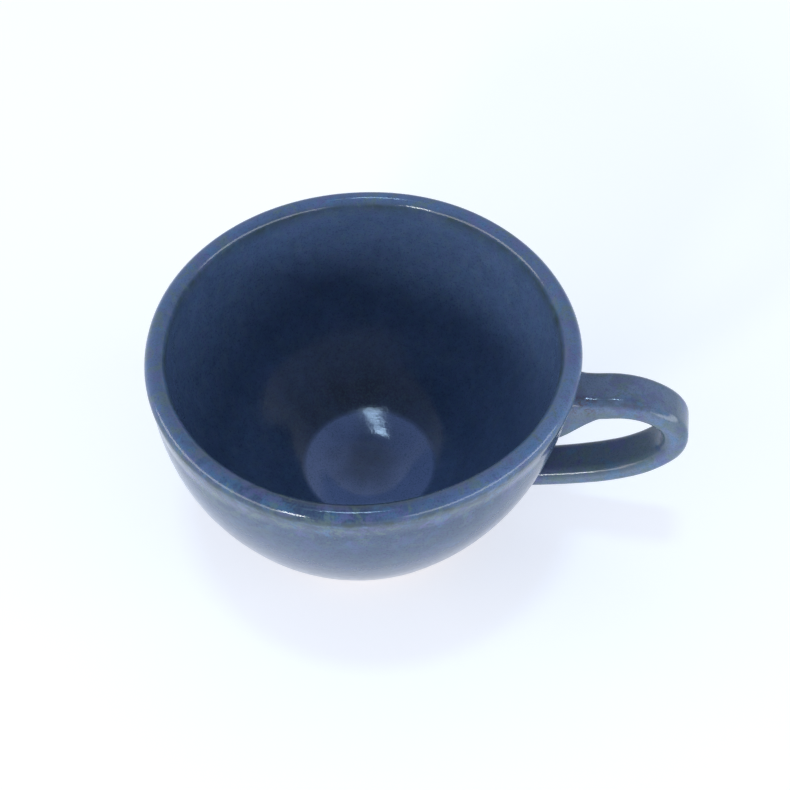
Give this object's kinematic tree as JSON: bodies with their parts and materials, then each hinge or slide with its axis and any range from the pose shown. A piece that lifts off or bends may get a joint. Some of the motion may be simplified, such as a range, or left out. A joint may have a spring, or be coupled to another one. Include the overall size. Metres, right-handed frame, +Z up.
{
  "type": "shaving mug",
  "caption": "Hand-thrown stoneware shaving mug: a wide rounded bowl with a full round lip, a low foot ring and a strap handle, glazed inside and out.",
  "frame": {"origin": "centre of the foot ring's resting face, on the mug's axis", "axes": "+Z up along the mug's axis, +X towards the handle, which lies in the XZ plane"},
  "size_m": [0.1396, 0.11, 0.066],
  "materials": {
    "stoneware": "unglazed, matt, slightly gritty",
    "inner_glaze": "deep blue satin-gloss glaze with a fine mottle",
    "outer_glaze": "slate blue gloss glaze with green-grey breaks on the edges"
  },
  "bodies": {
    "root": {"bowl": "stoneware", "foot_ring": "stoneware", "handle": "stoneware", "upper_pad": "outer_glaze", "lower_pad": "outer_glaze", "interior_glaze": "inner_glaze", "exterior_glaze": "outer_glaze", "handle_glaze": "outer_glaze"}
  },
  "joints": []
}
